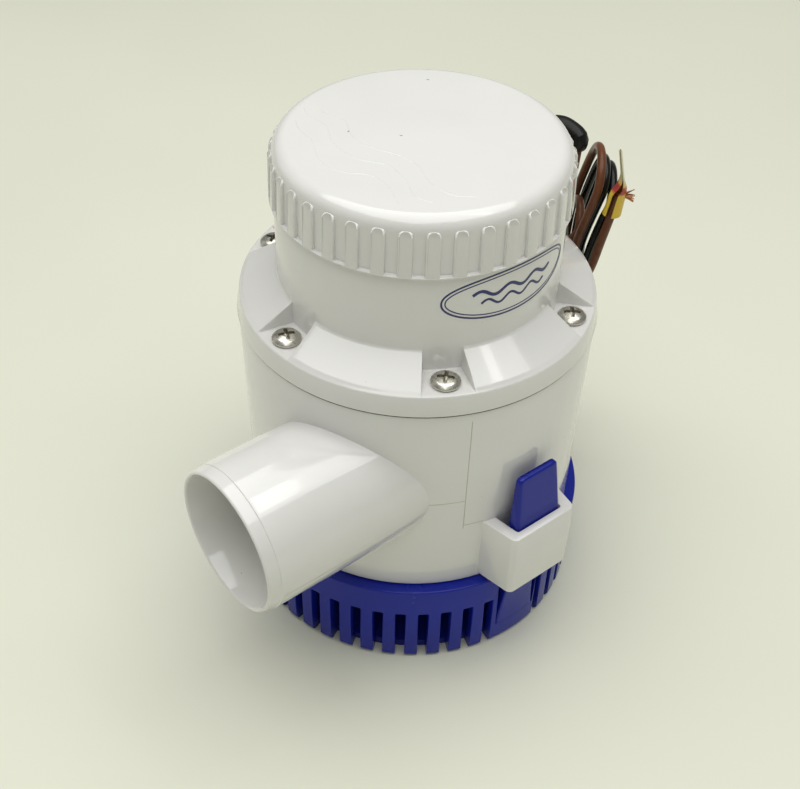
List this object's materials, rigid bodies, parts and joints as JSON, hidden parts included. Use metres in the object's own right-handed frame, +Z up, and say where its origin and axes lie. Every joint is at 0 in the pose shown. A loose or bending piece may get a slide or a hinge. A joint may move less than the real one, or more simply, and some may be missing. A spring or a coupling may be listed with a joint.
{
  "type": "submersible bilge pump",
  "caption": "Submersible bilge pump: ribbed round cap, screwed flange, volute body with side hose outlet, slotted clip-on strainer and a tied hank of two leads.",
  "frame": {"origin": "middle of the strainer's flat underside, where the pump stands", "axes": "+Z up along the motor's axis; the hose outlet points to -Y; the release tabs stand at +X and -X"},
  "size_m": [0.1428, 0.1957, 0.1809],
  "materials": {
    "blue_plastic": "satin",
    "white_plastic": "satin",
    "black_plastic": "matt",
    "black_rubber": "matt",
    "stainless": "bright",
    "sheet_steel": "satin",
    "laminations": "dull",
    "ferrite": "matt",
    "fibre_board": "matt",
    "brass": "satin",
    "copper": "bright",
    "carbon": "matt",
    "brown_sheath": "satin",
    "black_sheath": "satin",
    "yellow_tape": "matt"
  },
  "bodies": {
    "strainer": {"strainer_base": "blue_plastic"},
    "front_tab": {"release_tab_front": "blue_plastic"},
    "rear_tab": {"release_tab_rear": "blue_plastic"},
    "pump": {"volute_body": "white_plastic", "motor_housing": "white_plastic", "cap": "white_plastic", "flange_o_ring": "black_rubber", "cap_o_ring": "black_rubber", "shaft_seal": "black_rubber", "cable_gland": "black_rubber", "cover_screw_1": "stainless", "cover_screw_2": "stainless", "cover_screw_3": "stainless", "cover_screw_4": "stainless", "cover_screw_5": "stainless", "cover_screw_6": "stainless", "motor_can": "sheet_steel", "motor_cover": "sheet_steel", "lower_bearing": "stainless", "upper_bearing": "stainless", "field_magnet_1": "ferrite", "field_magnet_2": "ferrite", "brush_plate": "fibre_board", "brush_holder_1": "brass", "brush_holder_2": "brass", "brush_1": "carbon", "brush_2": "carbon", "brush_spring_1": "sheet_steel", "brush_spring_2": "sheet_steel", "motor_lead_black": "black_sheath", "motor_lead_brown": "brown_sheath", "lead_sleeve": "black_rubber", "brown_lead": "brown_sheath", "black_lead": "black_sheath", "brown_hank": "brown_sheath", "black_hank": "black_sheath", "hank_tie": "black_plastic", "brown_tail": "brown_sheath", "black_tail": "black_sheath", "brown_bare_end": "copper", "black_bare_end": "copper", "lead_tag": "yellow_tape"},
    "rotor": {"shaft": "stainless", "impeller": "black_plastic", "impeller_nut": "brass", "armature_core": "laminations", "armature_windings": "copper", "commutator": "copper"}
  },
  "joints": [
    {"name": "front_tab_flex", "type": "hinge", "parent": "strainer", "child": "front_tab", "pos_m": [0.0612, 0, 0.009], "axis": [0, -1, 0], "range_deg": [0, 1.1], "stiffness_Nm_per_rad": 2},
    {"name": "rear_tab_flex", "type": "hinge", "parent": "strainer", "child": "rear_tab", "pos_m": [-0.0612, 0, 0.009], "axis": [0, 1, 0], "range_deg": [0, 1.1], "stiffness_Nm_per_rad": 2},
    {"name": "pump_lift", "type": "slide", "parent": "strainer", "child": "pump", "axis": [0, 0, 1], "range_m": [0, 0.06]},
    {"name": "rotor_spin", "type": "hinge", "parent": "pump", "child": "rotor", "pos_m": [0, 0, 0.08], "axis": [0, 0, 1], "continuous": true}
  ]
}
